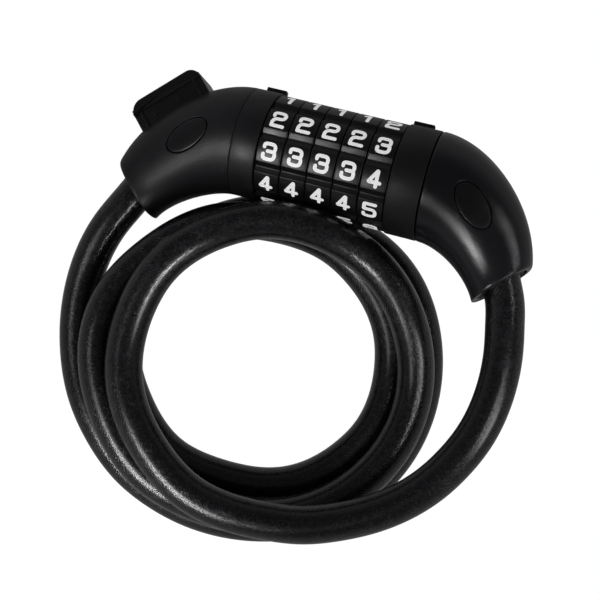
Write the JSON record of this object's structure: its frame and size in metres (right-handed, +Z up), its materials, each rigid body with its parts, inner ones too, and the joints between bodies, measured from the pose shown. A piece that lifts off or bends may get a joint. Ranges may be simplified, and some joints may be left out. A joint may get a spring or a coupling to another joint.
{
  "type": "combination cable lock",
  "caption": "Spiral cable lock: a dial barrel between two curved ends, one of them a pull-out plug, with a thick jacketed cable piled in loops from end to end.",
  "frame": {"origin": "on the ground, below the middle of the box that holds the lock without its cable", "axes": "+X along the lock from its fixed end to its plug, +Z up, and the piled cable lies on the -Y side; the plug's end is raised, because it rests on the cable"},
  "size_m": [0.1484, 0.1485, 0.0497],
  "materials": {
    "shell_plastic": "fine grained satin black",
    "collar_plastic": "smooth satin black",
    "inlay_plastic": "fine grained matte black",
    "lug_plastic": "glossy black",
    "dial_plastic": "satin black with raised-contrast white numbers",
    "cable_jacket": "smoke-dark clear jacket over stranded wire",
    "grommet_rubber": "matte",
    "zinc_casting": "dull zinc die casting",
    "steel": "bright zinc plated",
    "gate_brass": "plain"
  },
  "bodies": {
    "case": {"left_elbow_front": "shell_plastic", "left_elbow_rear": "shell_plastic", "left_inlay": "inlay_plastic", "bracket_lug": "lug_plastic", "left_anchor": "zinc_casting", "left_ferrule": "steel", "left_cross_pin": "steel", "left_grommet": "grommet_rubber", "left_collar": "collar_plastic", "right_collar": "collar_plastic", "core_tube": "steel", "retaining_ring": "steel", "wave_washer": "steel", "cable_left_run": "cable_jacket", "cable_coil": "cable_jacket"},
    "dial_1": {"dial_1": "dial_plastic", "gate_ring_1": "gate_brass"},
    "dial_2": {"dial_2": "dial_plastic", "gate_ring_2": "gate_brass"},
    "dial_3": {"dial_3": "dial_plastic", "gate_ring_3": "gate_brass"},
    "dial_4": {"dial_4": "dial_plastic", "gate_ring_4": "gate_brass"},
    "dial_5": {"dial_5": "dial_plastic", "gate_ring_5": "gate_brass"},
    "plug": {"right_elbow_front": "shell_plastic", "right_elbow_rear": "shell_plastic", "right_inlay": "inlay_plastic", "right_anchor": "zinc_casting", "right_ferrule": "steel", "right_cross_pin": "steel", "right_grommet": "grommet_rubber", "locking_pin": "steel", "cable_right_run": "cable_jacket"}
  },
  "joints": [
    {"name": "dial_1_turn", "type": "hinge", "parent": "case", "child": "dial_1", "pos_m": [-0.0163, 0.00668, 0.02081], "axis": [0.9763, 0, 0.2164], "continuous": true},
    {"name": "dial_2_turn", "type": "hinge", "parent": "case", "child": "dial_2", "pos_m": [-0.00795, 0.00668, 0.02266], "axis": [0.9763, 0, 0.2164], "continuous": true},
    {"name": "dial_3_turn", "type": "hinge", "parent": "case", "child": "dial_3", "pos_m": [0.0004, 0.00668, 0.02451], "axis": [0.9763, 0, 0.2164], "continuous": true},
    {"name": "dial_4_turn", "type": "hinge", "parent": "case", "child": "dial_4", "pos_m": [0.00874, 0.00668, 0.02636], "axis": [0.9763, 0, 0.2164], "continuous": true},
    {"name": "dial_5_turn", "type": "hinge", "parent": "case", "child": "dial_5", "pos_m": [0.01709, 0.00668, 0.02821], "axis": [0.9763, 0, 0.2164], "continuous": true},
    {"name": "plug_slide", "type": "slide", "parent": "case", "child": "plug", "axis": [0.9763, 0, 0.2164], "range_m": [0, 0.048]}
  ]
}
